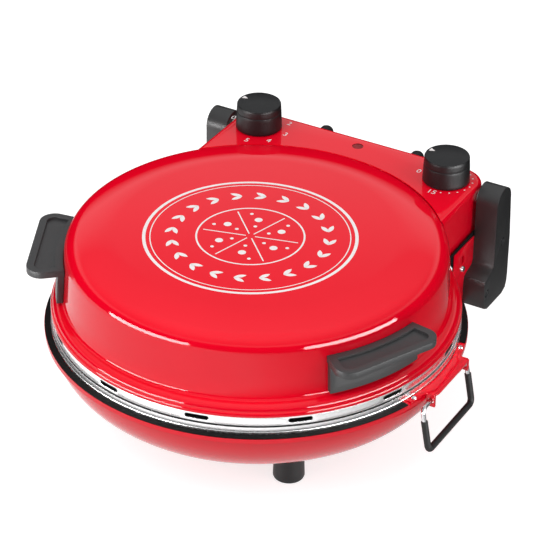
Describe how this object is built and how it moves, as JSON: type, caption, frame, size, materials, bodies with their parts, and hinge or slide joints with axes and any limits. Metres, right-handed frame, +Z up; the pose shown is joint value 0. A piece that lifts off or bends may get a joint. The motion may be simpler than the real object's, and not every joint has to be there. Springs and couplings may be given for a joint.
{
  "type": "electric pizza oven",
  "caption": "Round countertop pizza oven: bowl on feet with a baking stone, hinged domed lid with grips, control housing and turning knobs, and a swinging side bail.",
  "frame": {"origin": "on the vertical axis of the round body, in the plane of the feet's undersides", "axes": "+Z up; -Y the front, opposite the hinge; +X the side that carries the bail"},
  "size_m": [0.3815, 0.393, 0.196],
  "materials": {
    "red_paint": "gloss",
    "polished_steel": "polished",
    "pan_steel": "satin",
    "heater_steel": "dull",
    "screw_steel": "polished",
    "stone": "matt fired stone",
    "ceramic": "matt ceramic",
    "black_rubber": "matt",
    "grey_plastic": "fine texture",
    "black_plastic": "satin",
    "white_plastic": "natural",
    "lens": "clear tinted",
    "lamp_glass": "clear"
  },
  "bodies": {
    "base": {"base_bowl": "red_paint", "base_ring": "polished_steel", "lip_seal": "black_rubber", "inner_pan": "pan_steel", "pizza_stone": "stone", "lower_element": "heater_steel", "lower_element_clips": "pan_steel", "lower_terminals": "ceramic", "rubber_feet": "black_rubber", "foot_screws": "screw_steel", "hinge_bracket_left": "red_paint", "hinge_bracket_right": "red_paint", "hinge_arm_left": "grey_plastic", "hinge_arm_right": "grey_plastic", "arm_screws": "screw_steel", "hinge_pins": "screw_steel", "bail_bracket": "red_paint", "bail_rivets": "screw_steel"},
    "lid": {"lid_shell": "red_paint", "lid_ring": "polished_steel", "lid_liner": "pan_steel", "upper_element": "heater_steel", "upper_element_clips": "pan_steel", "upper_terminals": "ceramic", "grip_left": "grey_plastic", "grip_right": "grey_plastic", "grip_screws": "screw_steel", "control_housing": "red_paint", "housing_cover": "grey_plastic", "cover_screws": "screw_steel", "hinge_washers": "white_plastic", "thermostat": "pan_steel", "timer": "pan_steel", "terminal_block": "white_plastic", "indicator_lens": "lens", "indicator_lamp": "lamp_glass", "rear_bumpers": "black_rubber", "cord_gland": "black_rubber"},
    "thermostat_dial": {"thermostat_knob": "black_plastic", "thermostat_shaft": "screw_steel"},
    "timer_dial": {"timer_knob": "black_plastic", "timer_shaft": "screw_steel"},
    "bail": {"bail_wire": "screw_steel", "bail_sleeve": "black_rubber"}
  },
  "joints": [
    {"name": "lid_hinge", "type": "hinge", "parent": "base", "child": "lid", "pos_m": [0, 0.1765, 0.159], "axis": [-1, 0, 0], "range_deg": [0, 100]},
    {"name": "thermostat_turn", "type": "hinge", "parent": "lid", "child": "thermostat_dial", "pos_m": [-0.094, 0.167, 0.1725], "axis": [0, 0, -1], "range_deg": [0, 258]},
    {"name": "timer_turn", "type": "hinge", "parent": "lid", "child": "timer_dial", "pos_m": [0.094, 0.167, 0.1725], "axis": [0, 0, -1], "range_deg": [0, 270]},
    {"name": "bail_swing", "type": "hinge", "parent": "base", "child": "bail", "pos_m": [0.1825, -0.0055, 0.0874], "axis": [0, -1, 0], "range_deg": [-22.5, 89.5]}
  ]
}
